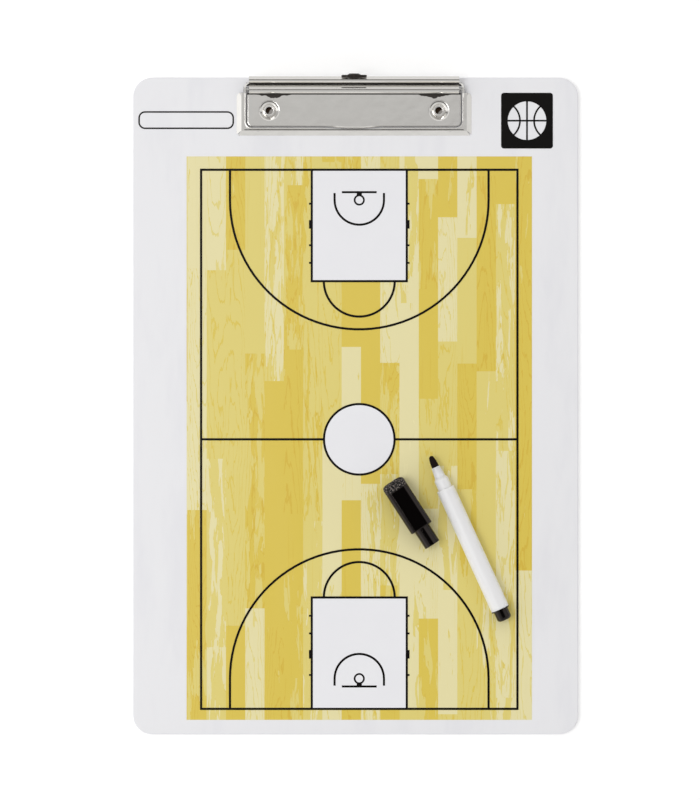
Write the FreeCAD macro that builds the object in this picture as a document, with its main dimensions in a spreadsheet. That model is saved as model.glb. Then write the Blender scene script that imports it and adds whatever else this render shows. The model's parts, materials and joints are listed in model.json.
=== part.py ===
import FreeCAD
import Part
import Sketcher
import math
import os

Vector = FreeCAD.Vector
doc = FreeCAD.newDocument("tactics_board")

# Driving dimensions in millimetres and degrees, one cell each
sizes = {
    # Panel and writing film
    "board_width": 240.0,
    "board_length": 354.0,
    "board_thickness": 3.0,
    "board_corner": 10.5,
    "board_edge_round": 0.5,
    "film_inset": 0.7,
    "film_thickness": 0.25,
    "print_thickness": 0.1,
    # Printed field, set in from the panel's edges, and the court, set in from the field's
    "field_left": 28.9,
    "field_right": 25.1,
    "field_low": 7.95,
    "field_high": 42.55,
    "court_side": 7.8,
    "court_low": 5.9,
    "court_high": 7.2,
    "line_width": 1.2,
    "centre_circle": 19.0,
    "key_width": 51.15,
    "key_depth": 60.0,
    "free_throw_circle": 19.1,
    "ring_distance": 16.3,
    "ring_radius": 2.5,
    "ring_line": 1.0,
    "ring_neck": 2.8,
    "three_point_radius": 69.65,
    "backboard_distance": 11.5,
    "backboard_length": 18.8,
    "backboard_thickness": 1.15,
    "no_charge_radius": 13.3,
    "no_charge_start": 12.5,
    "lane_mark_length": 0.9,
    "lane_mark_thickness": 1.0,
    "lane_mark_first": 17.75,
    "lane_mark_second": 40.15,
    "lane_mark_third": 49.65,
    "lane_block_start": 27.1,
    "lane_block_length": 4.6,
    # Empty name frame and black badge, their middles measured from the upper corners
    "name_frame_width": 51.5,
    "name_frame_height": 9.6,
    "name_frame_corner": 3.6,
    "name_frame_line": 0.8,
    "name_frame_side": 28.65,
    "name_frame_top": 23.0,
    "badge_width": 27.9,
    "badge_height": 30.0,
    "badge_corner": 1.5,
    "badge_side": 27.75,
    "badge_top": 23.3,
    "ball_radius": 10.4,
    "ball_seam": 0.9,
    "ball_arc": 10.4,
    "ball_arc_offset": 14.2,
    # Clip: fixed plate
    "clip_x": -0.9,
    "pin_setback": 6.6,
    "pin_height": 2.6,
    "pin_radius": 0.9,
    "pin_clearance": 0.04,
    "pin_head_radius": 1.5,
    "pin_head": 0.45,
    "plate_side": 62.5,
    "plate_reach": 20.0,
    "plate_corner": 2.6,
    "plate_sheet": 0.7,
    "plate_lift": 1.6,
    "plate_edge_round": 0.5,
    "tongue_root": 30.0,
    "tongue_tip": 9.4,
    "tongue_depth": 1.0,
    "tongue_overlap": 1.5,
    "tongue_bevel": 0.85,
    "hood_radius": 1.75,
    "hood_inset": 1.1,
    "hood_lip_angle": 20.0,
    # Clip: rivets
    "rivet_inset": 11.85,
    "rivet_distance": 11.4,
    "rivet_shank": 2.35,
    "rivet_bore": 1.95,
    "rivet_flare": 3.05,
    "rivet_flare_height": 0.6,
    "rivet_flare_round": 0.3,
    "rivet_head": 4.2,
    "rivet_head_thickness": 0.8,
    "rivet_head_recess": 0.1,
    "rivet_clearance": 0.05,
    "rivet_slit": 0.25,
    "rivet_slits": 5,
    "dimple_radius": 5.3,
    "dimple_slope": 38.0,
    # Clip: moving jaw
    "jaw_sheet": 0.8,
    "jaw_lift": 0.05,
    "window_gap": 0.7,
    "tongue_gap": 0.45,
    "land_height": 2.0,
    "wall_height": 2.9,
    "wall_round": 0.35,
    "notch_height": 2.15,
    "side_land": 1.6,
    "front_land": 0.8,
    "side_skirt": 2.65,
    "front_skirt": 2.4,
    "skirt_rear": 1.9,
    "skirt_rear_cut": 1.5,
    "skirt_peak": 1.0,
    "skirt_slit": 1.9,
    "mitre_flare": 0.75,
    "cut_past": 0.2,
    "pip_radius": 0.65,
    "pip_height": 0.25,
    "pip_inset": 5.9,
    "ear_rise": 2.3,
    "ear_drop": 1.6,
    "ear_slope": 2.3,
    "ear_reach": 4.5,
    "ear_bend": 2.3,
    "ear_shoulder": 0.4,
    "ear_foot_run": 1.6,
    "ear_back_rise": 1.0,
    "hood_gap": 0.55,
    "lever_inset": 1.1,
    "lever_lower": 0.5,
    "curl_rise": 4.2,
    "curl_radius": 1.85,
    "curl_lip_angle": 50.0,
    # Lug on the lever's curl and its hanging eyelet
    "lug_offset": 0.63,
    "lug_foot": 0.3,
    "lug_gap": 0.3,
    "lug_lean": 4.0,
    "lug_inset": 0.45,
    "eyelet_width": 13.6,
    "eyelet_height": 7.6,
    "eyelet_flange": 0.32,
    "eyelet_ring": 3.75,
    "eyelet_crown": 2.75,
    "eyelet_ring_proud": 1.08,
    "eyelet_hole": 2.2,
    "eyelet_sleeve": 0.5,
    "eyelet_clearance": 0.05,
    # Torsion springs on the hinge pin
    "wire_radius": 0.25,
    "coil_radius": 1.3,
    "coil_pitch": 1.0,
    "coil_turns": 6,
    "spring_spacing": 60.0,
    "spring_front_leg": 9.0,
    "spring_rear_leg": 4.2,
    "spring_upright": 3.3,
    "spring_bend": 0.8,
    # Pen, lying on the court
    "pen_tip_side": 79.85,
    "pen_tip_y": -26.9,
    "pen_angle": -65.5,
    "pen_rest_gap": 0.1,
    "nib_length": 6.45,
    "nib_radius": 2.0,
    "nib_tip_round": 1.4,
    "nib_shank": 6.0,
    "nozzle_tip_radius": 2.35,
    "nozzle_cone_radius": 2.95,
    "nozzle_cone": 5.8,
    "collar_shoulder": 1.5,
    "collar_radius": 3.85,
    "collar_length": 5.4,
    "pen_fit": 0.05,
    "spigot_length": 6.0,
    "barrel_length": 70.9,
    "barrel_front_radius": 4.9,
    "barrel_rear_radius": 5.0,
    "barrel_bore": 3.6,
    "barrel_round": 0.4,
    "reservoir_radius": 2.6,
    "reservoir_gap": 0.3,
    "plug_flange": 0.65,
    "plug_stub": 5.9,
    "plug_stub_radius": 4.0,
    "plug_round": 1.6,
    # Cap with its felt eraser, lying on the court
    "cap_side": 100.7,
    "cap_y": -40.7,
    "cap_angle": -57.0,
    "cap_rest_gap": 0.05,
    "felt_length": 4.9,
    "felt_inset": 0.2,
    "felt_round": 2.0,
    "cap_width": 12.9,
    "cap_corner": 3.0,
    "cap_body": 24.5,
    "cap_edge_round": 0.5,
    "cap_rim_round": 0.3,
    "cap_skirt": 10.7,
    "cap_skirt_radius": 4.5,
    "cap_bore_margin": 1.6,
    "cap_chamber_radius": 3.2,
    "cap_chamber_margin": 2.0,
}

sheet = doc.addObject("Spreadsheet::Sheet", "dims")
for row, (alias, number) in enumerate(sizes.items(), start=1):
    sheet.set(f"A{row}", alias)
    sheet.set(f"B{row}", str(number))
    sheet.setAlias(f"B{row}", alias)
doc.recompute()


def size(expression):
    """Number that an expression on the sheet gives."""
    return float(sheet.evalExpression(expression))


def bind(item, expressions):
    """Tie properties of an object to expressions on the sheet."""
    for path, expression in expressions.items():
        item.setExpression(path, expression)


def place(item, x="0", y="0", z="0", angle=None, axis=Vector(0, 0, 1)):
    """Tie the placement of an object to the sheet."""
    if angle:
        item.Placement.Rotation = FreeCAD.Rotation(axis, size(angle))
        item.setExpression("Placement.Rotation.Angle", angle)
    bind(item, {"Placement.Base.x": x, "Placement.Base.y": y, "Placement.Base.z": z})


# Part primitives and booleans
def box(name, x, y, z, length, width, height):
    item = doc.addObject("Part::Box", name)
    place(item, x, y, z)
    bind(item, {"Length": length, "Width": width, "Height": height})
    return item


def disc(name, x, y, z, radius, height, angle="360"):
    item = doc.addObject("Part::Cylinder", name)
    place(item, x, y, z)
    bind(item, {"Radius": radius, "Height": height, "Angle": angle})
    return item


def cut(name, base, tool):
    item = doc.addObject("Part::Cut", name)
    item.Base = base
    item.Tool = tool
    return item


def common(name, base, tool):
    item = doc.addObject("Part::Common", name)
    item.Base = base
    item.Tool = tool
    return item


def fuse(name, shapes):
    item = doc.addObject("Part::MultiFuse", name)
    item.Shapes = shapes
    item.Refine = True
    return item


def flip(name, source, y):
    item = doc.addObject("Part::Mirroring", name)
    item.Source = source
    item.Normal = Vector(0, 1, 0)
    item.setExpression("Base.y", y)
    return item


# PartDesign bodies, sketches and features
def new_body(label):
    body = doc.addObject("PartDesign::Body", label)
    body.Label = label
    return body


def new_sketch(body, name, role, x="0", y="0", z="0", tilt=None):
    sketch = body.newObject("Sketcher::SketchObject", f"{body.Name}_{name}")
    plane = [feature for feature in body.Origin.OriginFeatures if feature.Role == role][0]
    sketch.AttachmentSupport = [(plane, "")]
    sketch.MapMode = "FlatFace"
    if tilt:
        sketch.AttachmentOffset = FreeCAD.Placement(Vector(), FreeCAD.Rotation(Vector(1, 0, 0), size(tilt)))
        sketch.setExpression("AttachmentOffset.Rotation.Angle", tilt)
    offsets = {"x": x, "y": y, "z": z}
    bind(sketch, {f"AttachmentOffset.Base.{key}": text for key, text in offsets.items() if text != "0"})
    return sketch


def arc_between(start, end, radius, turn):
    chord = end - start
    half = chord.Length / 2
    left = Vector(-chord.y, chord.x, 0).normalize()
    rise = radius - math.sqrt(max(radius * radius - half * half, 0.0))
    return Part.Arc(start, (start + end) / 2 - left * rise * turn, end)


def pin_point(sketch, geometry, position, u, v):
    """Tie one sketch point to its two coordinates."""
    for kind, text, axis in (("DistanceX", u, -2), ("DistanceY", v, -1)):
        if text == "0":
            sketch.addConstraint(Sketcher.Constraint("PointOnObject", geometry, position, axis))
        else:
            index = sketch.addConstraint(Sketcher.Constraint(kind, -1, 1, geometry, position, size(text)))
            sketch.setExpression(f"Constraints[{index}]", text)


def draw(sketch, path):
    """Closed outline of (u, v), or (u, v, radius, turn) where an arc starts; turn 1 is anticlockwise."""
    corners = [Vector(size(point[0]), size(point[1]), 0) for point in path]
    ends = []
    for index, point in enumerate(path):
        start = corners[index]
        end = corners[(index + 1) % len(path)]
        if len(point) == 2:
            geometry = sketch.addGeometry(Part.LineSegment(start, end))
            ends.append((geometry, 1, 2))
        else:
            geometry = sketch.addGeometry(arc_between(start, end, size(point[2]), point[3]))
            ends.append((geometry, 1, 2) if point[3] > 0 else (geometry, 2, 1))
    for index, (geometry, first, last) in enumerate(ends):
        after = ends[(index + 1) % len(ends)]
        sketch.addConstraint(Sketcher.Constraint("Coincident", geometry, last, after[0], after[1]))
    for point, (geometry, first, last) in zip(path, ends):
        pin_point(sketch, geometry, first, point[0], point[1])
        if len(point) == 4:
            radius = sketch.addConstraint(Sketcher.Constraint("Radius", geometry, size(point[2])))
            sketch.setExpression(f"Constraints[{radius}]", point[2])


def draw_circle(sketch, u, v, radius):
    centre = Vector(size(u), size(v), 0)
    geometry = sketch.addGeometry(Part.Circle(centre, Vector(0, 0, 1), size(radius)))
    pin_point(sketch, geometry, 3, u, v)
    index = sketch.addConstraint(Sketcher.Constraint("Radius", geometry, size(radius)))
    sketch.setExpression(f"Constraints[{index}]", radius)


def rectangle(left, low, right, high):
    return [(left, low), (right, low), (right, high), (left, high)]


def rounded(left, low, right, high, radius):
    """Rectangle with four round corners, drawn anticlockwise."""
    return [
        (f"{left} + {radius}", low),
        (f"{right} - {radius}", low, radius, 1),
        (right, f"{low} + {radius}"),
        (right, f"{high} - {radius}", radius, 1),
        (f"{right} - {radius}", high),
        (f"{left} + {radius}", high, radius, 1),
        (left, f"{high} - {radius}"),
        (left, f"{low} + {radius}", radius, 1),
    ]


def settle(feature):
    """Work the document out and stop at a feature that failed."""
    doc.recompute()
    if {"Invalid", "Error"} & set(feature.State) or feature.Shape.isNull():
        raise RuntimeError(f"{feature.Name} failed: {feature.getStatusString()}")
    return feature


def pad(body, sketch, length, symmetric=False, back=False):
    feature = body.newObject("PartDesign::Pad", f"{sketch.Name}_pad")
    feature.Profile = sketch
    feature.setExpression("Length", length)
    feature.SideType = "Symmetric" if symmetric else "One side"
    feature.Reversed = back
    return settle(feature)


def pocket(body, sketch, symmetric=False, back=False, depth=None):
    """Cut through everything, or to a depth; stops if nothing was removed."""
    before = body.Shape.Volume
    feature = body.newObject("PartDesign::Pocket", f"{sketch.Name}_cut")
    feature.Profile = sketch
    feature.SideType = "Symmetric" if symmetric else "One side"
    feature.Reversed = back
    if depth:
        feature.setExpression("Length", depth)
    else:
        feature.Type = "ThroughAll"
    settle(feature)
    if body.Shape.Volume >= before:
        raise RuntimeError(f"{feature.Name} removed nothing")
    return feature


def revolve(body, sketch, axis):
    feature = body.newObject("PartDesign::Revolution", f"{sketch.Name}_turn")
    feature.Profile = sketch
    feature.ReferenceAxis = (sketch, [axis])
    feature.Angle = 360
    return settle(feature)


def loft(body, kind, sections):
    feature = body.newObject(f"PartDesign::{kind}", f"{sections[0].Name}_loft")
    feature.Profile = sections[0]
    feature.Sections = sections[1:]
    feature.Ruled = True
    return settle(feature)


def fillet(body, radius, test):
    """Round the edges of the body's last feature that pass the test."""
    base = body.Tip
    names = [f"Edge{number}" for number, edge in enumerate(base.Shape.Edges, start=1) if test(edge)]
    if not names:
        raise RuntimeError(f"no edge to round on {base.Name}")
    feature = body.newObject("PartDesign::Fillet", f"{base.Name}_round")
    feature.Base = (base, names)
    feature.setExpression("Radius", radius)
    return settle(feature)


def at(number, target):
    return abs(number - target) < 1e-4


def level(edge, axis, target):
    """True where the whole edge lies at one coordinate."""
    low = getattr(edge.BoundBox, f"{axis}Min")
    high = getattr(edge.BoundBox, f"{axis}Max")
    return at(low, target) and at(high, target)


subparts = []


def keep(item, label):
    item.Label = label
    subparts.append(item)


# Edges, levels and places shared by several pieces
board_right = "(dims.board_width / 2)"
board_top = "(dims.board_length / 2)"
pin_y = f"({board_top} - dims.pin_setback)"
film_top = "(dims.board_thickness + dims.film_thickness)"
field_top = f"({film_top} + dims.print_thickness)"
rivet_hole = "(dims.rivet_shank + dims.rivet_clearance)"
rivet_y = f"({pin_y} - dims.rivet_distance)"
plate_half = "((dims.board_width - 2 * dims.plate_side) / 2)"
rivet_half = f"({plate_half} - dims.rivet_inset)"
rivet_sides = {"left": f"-{rivet_half}", "right": rivet_half}


def rivet_holes(sketch, radius):
    for side in rivet_sides.values():
        draw_circle(sketch, f"dims.clip_x + {side}", rivet_y, radius)


# Panel
def make_panel():
    body = new_body("board_panel")
    outline = new_sketch(body, "outline", "XY_Plane")
    draw(outline, rounded(f"-{board_right}", f"-{board_top}", board_right, board_top, "dims.board_corner"))
    pad(body, outline, "dims.board_thickness")
    thickness = size("dims.board_thickness")
    fillet(body, "dims.board_edge_round", lambda edge: level(edge, "Z", 0) or level(edge, "Z", thickness))
    holes = new_sketch(body, "holes", "XY_Plane")
    rivet_holes(holes, rivet_hole)
    pocket(body, holes, back=True)
    seats = new_sketch(body, "head_seats", "XY_Plane")
    rivet_holes(seats, "dims.rivet_head + dims.rivet_clearance")
    pocket(body, seats, back=True, depth="dims.rivet_head_recess + dims.rivet_head_thickness")
    keep(body, "board_panel")


def make_film():
    body = new_body("writing_film")
    place(body, z="dims.board_thickness")
    outline = new_sketch(body, "outline", "XY_Plane")
    half_width = f"({board_right} - dims.film_inset)"
    half_length = f"({board_top} - dims.film_inset)"
    corner = "(dims.board_corner - dims.film_inset)"
    draw(outline, rounded(f"-{half_width}", f"-{half_length}", half_width, half_length, corner))
    rivet_holes(outline, rivet_hole)
    pad(body, outline, "dims.film_thickness")
    keep(body, "writing_film")


# Court print
field_width = "(dims.board_width - dims.field_left - dims.field_right)"
field_length = "(dims.board_length - dims.field_low - dims.field_high)"
court_width = f"({field_width} - 2 * dims.court_side)"
court_length = f"({field_length} - dims.court_low - dims.court_high)"
court_x = "((dims.field_left - dims.field_right) / 2)"
court_y = "((dims.field_low - dims.field_high + dims.court_low - dims.court_high) / 2)"
baseline = f"({court_y} - {court_length} / 2)"
ring_y = f"({baseline} + dims.ring_distance)"
half_line = "dims.line_width / 2"


def ink_box(name, x, y, length, width):
    """Flat block of ink on the field, centred on x and starting at y."""
    return box(name, f"{x} - ({length}) / 2", y, field_top, length, width, "dims.print_thickness")


def ink_ring(name, y, radius, line, angle="360"):
    ink = "dims.print_thickness"
    outer = disc(f"{name}_outer", court_x, y, field_top, f"{radius} + {line} / 2", ink, angle)
    inner = disc(f"{name}_inner", court_x, y, field_top, f"{radius} - {line} / 2", ink, angle)
    return cut(name, outer, inner)


def ink_frame(name, y, width, depth):
    """Rectangle of court line whose middle line has the given width and depth."""
    line = "dims.line_width"
    outer = ink_box(f"{name}_outer", court_x, f"{y} - {line} / 2", f"{width} + {line}", f"{depth} + {line}")
    inner = ink_box(f"{name}_inner", court_x, f"{y} + {line} / 2", f"{width} - {line}", f"{depth} - {line}")
    return cut(name, outer, inner)


def half_court_lines():
    """Lines of the lower half; the upper half is its mirror image."""
    board_y = f"({baseline} + dims.backboard_distance)"
    foul_y = f"({baseline} + dims.key_depth)"
    line = "dims.line_width"
    lines = [
        ink_frame("key", baseline, "dims.key_width", "dims.key_depth"),
        ink_ring("free_throw", foul_y, "dims.free_throw_circle", line, "180"),
        ink_ring("three_point", ring_y, "dims.three_point_radius", line, "180"),
        ink_ring("no_charge", ring_y, "dims.no_charge_radius", line, "180"),
        ink_ring("ring", ring_y, "dims.ring_radius", "dims.ring_line"),
        ink_box("backboard", court_x, board_y, "dims.backboard_length", "dims.backboard_thickness"),
        ink_box("neck", court_x, board_y, "dims.ring_neck",
                "dims.ring_distance - dims.backboard_distance - dims.ring_radius"),
    ]
    lane_marks = {
        "lane_mark_first": ("dims.lane_mark_first", "dims.lane_mark_thickness"),
        "lane_block": ("dims.lane_block_start", "dims.lane_block_length"),
        "lane_mark_second": ("dims.lane_mark_second", "dims.lane_mark_thickness"),
        "lane_mark_third": ("dims.lane_mark_third", "dims.lane_mark_thickness"),
    }
    for side, sign in (("left", "-"), ("right", "+")):
        leg_x = f"{court_x} {sign} dims.three_point_radius"
        lines.append(ink_box(f"three_point_leg_{side}", leg_x, baseline, line, "dims.ring_distance"))
        stub_x = f"{court_x} {sign} dims.no_charge_radius"
        lines.append(ink_box(f"no_charge_leg_{side}", stub_x, f"{baseline} + dims.no_charge_start",
                             line, "dims.ring_distance - dims.no_charge_start"))
        mark = f"(dims.lane_mark_length + {half_line})"
        mark_x = f"{court_x} {sign} (dims.key_width + {mark}) / 2"
        for name, (start, depth) in lane_marks.items():
            lines.append(ink_box(f"{name}_{side}", mark_x, f"{baseline} + {start}", mark, depth))
    return fuse("half_court", lines)


def make_court():
    field = box("court_field", f"dims.field_left - {board_right}", f"dims.field_low - {board_top}", film_top,
                field_width, field_length, "dims.print_thickness")
    keep(field, "court_field_print")
    half = half_court_lines()
    border = ink_frame("border", baseline, court_width, court_length)
    middle = ink_box("middle_line", court_x, f"{court_y} - {half_line}", court_width, "dims.line_width")
    circle_disc = disc("centre_disc", court_x, court_y, field_top, "dims.centre_circle",
                       "dims.print_thickness")
    circle = ink_ring("centre_ring", court_y, "dims.centre_circle", "dims.line_width")
    open_middle = cut("open_middle_line", middle, circle_disc)
    other_half = flip("other_half", half, court_y)
    lines = fuse("court_lines", [border, open_middle, circle, half, other_half])
    keep(lines, "court_line_print")
    key_fill = ink_box("key_fill", court_x, baseline, "dims.key_width", "dims.key_depth")
    fills = fuse("fills", [circle_disc, key_fill, flip("other_key_fill", key_fill, court_y)])
    keep(cut("court_white", fills, lines), "court_white_print")


# Empty name frame and plain badge
badge_x = f"({board_right} - dims.badge_side)"
badge_y = f"({board_top} - dims.badge_top)"


def centred(width, height, inset="0"):
    """Left, low, right and high sides of a rectangle round the origin."""
    half_width = f"({width} / 2 - {inset})"
    half_height = f"({height} / 2 - {inset})"
    return f"-{half_width}", f"-{half_height}", half_width, half_height


def make_name_frame():
    body = new_body("label_frame_print")
    place(body, f"dims.name_frame_side - {board_right}", f"{board_top} - dims.name_frame_top", film_top)
    outline = new_sketch(body, "outline", "XY_Plane")
    width = "dims.name_frame_width"
    height = "dims.name_frame_height"
    line = "dims.name_frame_line"
    draw(outline, rounded(*centred(width, height), "dims.name_frame_corner"))
    draw(outline, rounded(*centred(width, height, line), f"(dims.name_frame_corner - {line})"))
    pad(body, outline, "dims.print_thickness")
    keep(body, "label_frame_print")


def badge_disc(name, offset, radius):
    return disc(name, f"{badge_x} + {offset}", badge_y, film_top, radius, "dims.print_thickness")


def badge_strip(name, length, width):
    """Straight seam through the middle of the ball."""
    return box(name, f"{badge_x} - {length} / 2", f"{badge_y} - {width} / 2", film_top, length, width,
               "dims.print_thickness")


def make_badge():
    """Black rounded square with a plain ball left open in it and the ball's seams across."""
    ground = new_body("badge_ground")
    place(ground, badge_x, badge_y, film_top)
    outline = new_sketch(ground, "outline", "XY_Plane")
    draw(outline, rounded(*centred("dims.badge_width", "dims.badge_height"), "dims.badge_corner"))
    pad(ground, outline, "dims.print_thickness")
    seam = "dims.ball_seam"
    across = "(2 * dims.ball_radius)"
    seams = [badge_strip("seam_across", across, seam), badge_strip("seam_upright", seam, across)]
    for side, sign in (("left", "-"), ("right", "")):
        offset = f"{sign}dims.ball_arc_offset"
        outer = badge_disc(f"seam_{side}_outer", offset, f"dims.ball_arc + {seam} / 2")
        inner = badge_disc(f"seam_{side}_inner", offset, f"dims.ball_arc - {seam} / 2")
        seams.append(cut(f"seam_{side}", outer, inner))
    ball = badge_disc("ball", "0", "dims.ball_radius")
    ball_seams = common("ball_seams", ball, fuse("seams", seams))
    keep(fuse("badge", [cut("open_ground", ground, ball), ball_seams]), "corner_badge_print")


# Clip: shared frame on the hinge axis, at the level of the film
pin_z = "dims.pin_height"
hood_outer = "(dims.hood_radius + dims.plate_sheet)"
hood_half = f"({plate_half} - dims.hood_inset)"
plate_top = "(dims.plate_lift + dims.plate_sheet)"
pin_hole = "(dims.pin_radius + dims.pin_clearance)"
tab_inner = f"({hood_half} - dims.plate_sheet)"


def place_clip_piece(body):
    place(body, "dims.clip_x", pin_y, film_top)


def make_clip_base():
    body = new_body("clip_base")
    place_clip_piece(body)
    plate_rear = "-(dims.hood_radius + dims.plate_sheet / 2)"
    plate = new_sketch(body, "plate", "XY_Plane", z="dims.plate_lift")
    corner = "dims.plate_corner"
    draw(plate, [
        (f"-{plate_half}", plate_rear),
        (f"-{plate_half}", f"{corner} - dims.plate_reach", corner, 1),
        (f"{corner} - {plate_half}", "-dims.plate_reach"),
        (f"{plate_half} - {corner}", "-dims.plate_reach", corner, 1),
        (plate_half, f"{corner} - dims.plate_reach"),
        (plate_half, plate_rear),
    ])
    pad(body, plate, "dims.plate_sheet")
    top = size(plate_top)
    rear = size(plate_rear)
    fillet(body, "dims.plate_edge_round", lambda edge: level(edge, "Z", top) and not level(edge, "Y", rear))
    add_tongue(body)
    holes = new_sketch(body, "dimple_holes", "XY_Plane")
    shift = "dims.plate_sheet * tan(dims.dimple_slope / 2)"
    bend = f"(dims.dimple_radius + {shift})"
    for side in rivet_sides.values():
        draw_circle(holes, side, "-dims.rivet_distance", bend)
    pocket(body, holes, back=True)
    seat = "(dims.dimple_radius - dims.plate_lift / tan(dims.dimple_slope))"
    for name, side in rivet_sides.items():
        dish = new_sketch(body, f"dish_{name}", "XZ_Plane", x=side, z="dims.rivet_distance")
        draw(dish, [
            (rivet_hole, "0"),
            (f"{seat} + {shift}", "0"),
            (bend, "dims.plate_lift"),
            (bend, plate_top, "dims.plate_sheet", 1),
            (f"{bend} - dims.plate_sheet * sin(dims.dimple_slope)",
             "dims.plate_lift + dims.plate_sheet * cos(dims.dimple_slope)"),
            (seat, "dims.plate_sheet"),
            (rivet_hole, "dims.plate_sheet"),
        ])
        revolve(body, dish, "V_Axis")
    add_hood(body)
    keep(body, "clip_base")


def add_tongue(body):
    """Tongue in the middle of the plate's front edge, bevelled at its slanted sides and tip."""
    root = "dims.tongue_root / 2"
    tip = "dims.tongue_tip / 2"
    rear = "dims.tongue_overlap - dims.plate_reach"
    sections = []
    for name, height, inset in (("foot", "dims.plate_lift", "0"), ("top", plate_top, "dims.tongue_bevel")):
        section = new_sketch(body, f"tongue_{name}", "XY_Plane", z=height)
        root_front = f"{inset} - dims.plate_reach"
        tip_front = f"{inset} - dims.plate_reach - dims.tongue_depth"
        draw(section, [
            (f"-{root}", rear),
            (f"-{root}", root_front),
            (f"-{tip}", tip_front),
            (tip, tip_front),
            (root, root_front),
            (root, rear),
        ])
        sections.append(section)
    loft(body, "AdditiveLoft", sections)


def add_hood(body):
    """Open roll over the hinge pin, with a tab at each end that carries the pin."""
    hood = new_sketch(body, "hood", "YZ_Plane")
    inner = "dims.hood_radius"
    lip = "dims.hood_lip_angle"
    draw(hood, [
        (f"-{hood_outer}", "dims.plate_lift"),
        (f"-{hood_outer}", pin_z, hood_outer, -1),
        ("0", f"{pin_z} + {hood_outer}", hood_outer, -1),
        (hood_outer, pin_z, hood_outer, -1),
        (f"{hood_outer} * cos({lip})", f"{pin_z} - {hood_outer} * sin({lip})"),
        (f"{inner} * cos({lip})", f"{pin_z} - {inner} * sin({lip})", inner, 1),
        (inner, pin_z, inner, 1),
        ("0", f"{pin_z} + {inner}", inner, 1),
        (f"-{inner}", pin_z),
        (f"-{inner}", "dims.plate_lift"),
    ])
    pad(body, hood, f"2 * {hood_half}", symmetric=True)
    for name, start in (("left", f"-{hood_half}"), ("right", tab_inner)):
        tab = new_sketch(body, f"tab_{name}", "YZ_Plane", z=start)
        draw_circle(tab, "0", pin_z, "dims.hood_radius + dims.plate_sheet / 2")
        draw_circle(tab, "0", pin_z, pin_hole)
        pad(body, tab, "dims.plate_sheet")


# Clip: moving jaw
window_half = f"({plate_half} + dims.window_gap)"
window_front = "(dims.plate_reach + dims.window_gap)"
wall_half = f"({window_half} + dims.jaw_sheet)"
wall_front = f"({window_front} + dims.jaw_sheet)"
fold_half = f"({wall_half} + dims.side_land)"
fold_front = f"({wall_front} + dims.front_land)"
back_wall = f"({hood_outer} + dims.hood_gap)"
skirt_drop = "(dims.land_height - dims.jaw_lift)"


def tray_section(body, name, level_z, thin, rear):
    """Rectangle through the sloped skirts at one height, taken in by the sheet where it is the inner side."""
    reaches = []
    for run, fold in (("dims.side_skirt", fold_half), ("dims.front_skirt", fold_front)):
        reach = f"{fold} + (dims.land_height - {level_z}) * {run} / {skirt_drop}"
        if thin:
            reach += f" - dims.jaw_sheet * sqrt(1 + pow({run} / {skirt_drop}; 2))"
        reaches.append(f"({reach})")
    section = new_sketch(body, name, "XY_Plane", z=level_z)
    draw(section, rectangle(f"-{reaches[0]}", f"-{reaches[1]}", reaches[0], rear))
    return section


def wall_path(side, front, corner, gap):
    """Front wall of the window on one side of the sheet, from the left side round the plate's tongue."""
    root = f"(dims.tongue_root / 2 + {gap})"
    tip = f"(dims.tongue_tip / 2 + {gap})"
    tip_front = f"(dims.plate_reach + dims.tongue_depth + {gap})"
    return [
        (f"-{side}", f"-{front} + {corner}", corner, 1),
        (f"-{side} + {corner}", f"-{front}"),
        (f"-{root}", f"-{front}"),
        (f"-{tip}", f"-{tip_front}"),
        (tip, f"-{tip_front}"),
        (root, f"-{front}"),
        (f"{side} - {corner}", f"-{front}", corner, 1),
        (side, f"-{front} + {corner}"),
    ]


def make_clip_jaw():
    body = new_body("clip_jaw")
    place_clip_piece(body)
    add_tray(body)
    add_walls(body)
    add_lever(body)
    holes = new_sketch(body, "pin_holes", "YZ_Plane")
    draw_circle(holes, "0", pin_z, pin_hole)
    pocket(body, holes, symmetric=True)
    keep(body, "clip_jaw")


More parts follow.
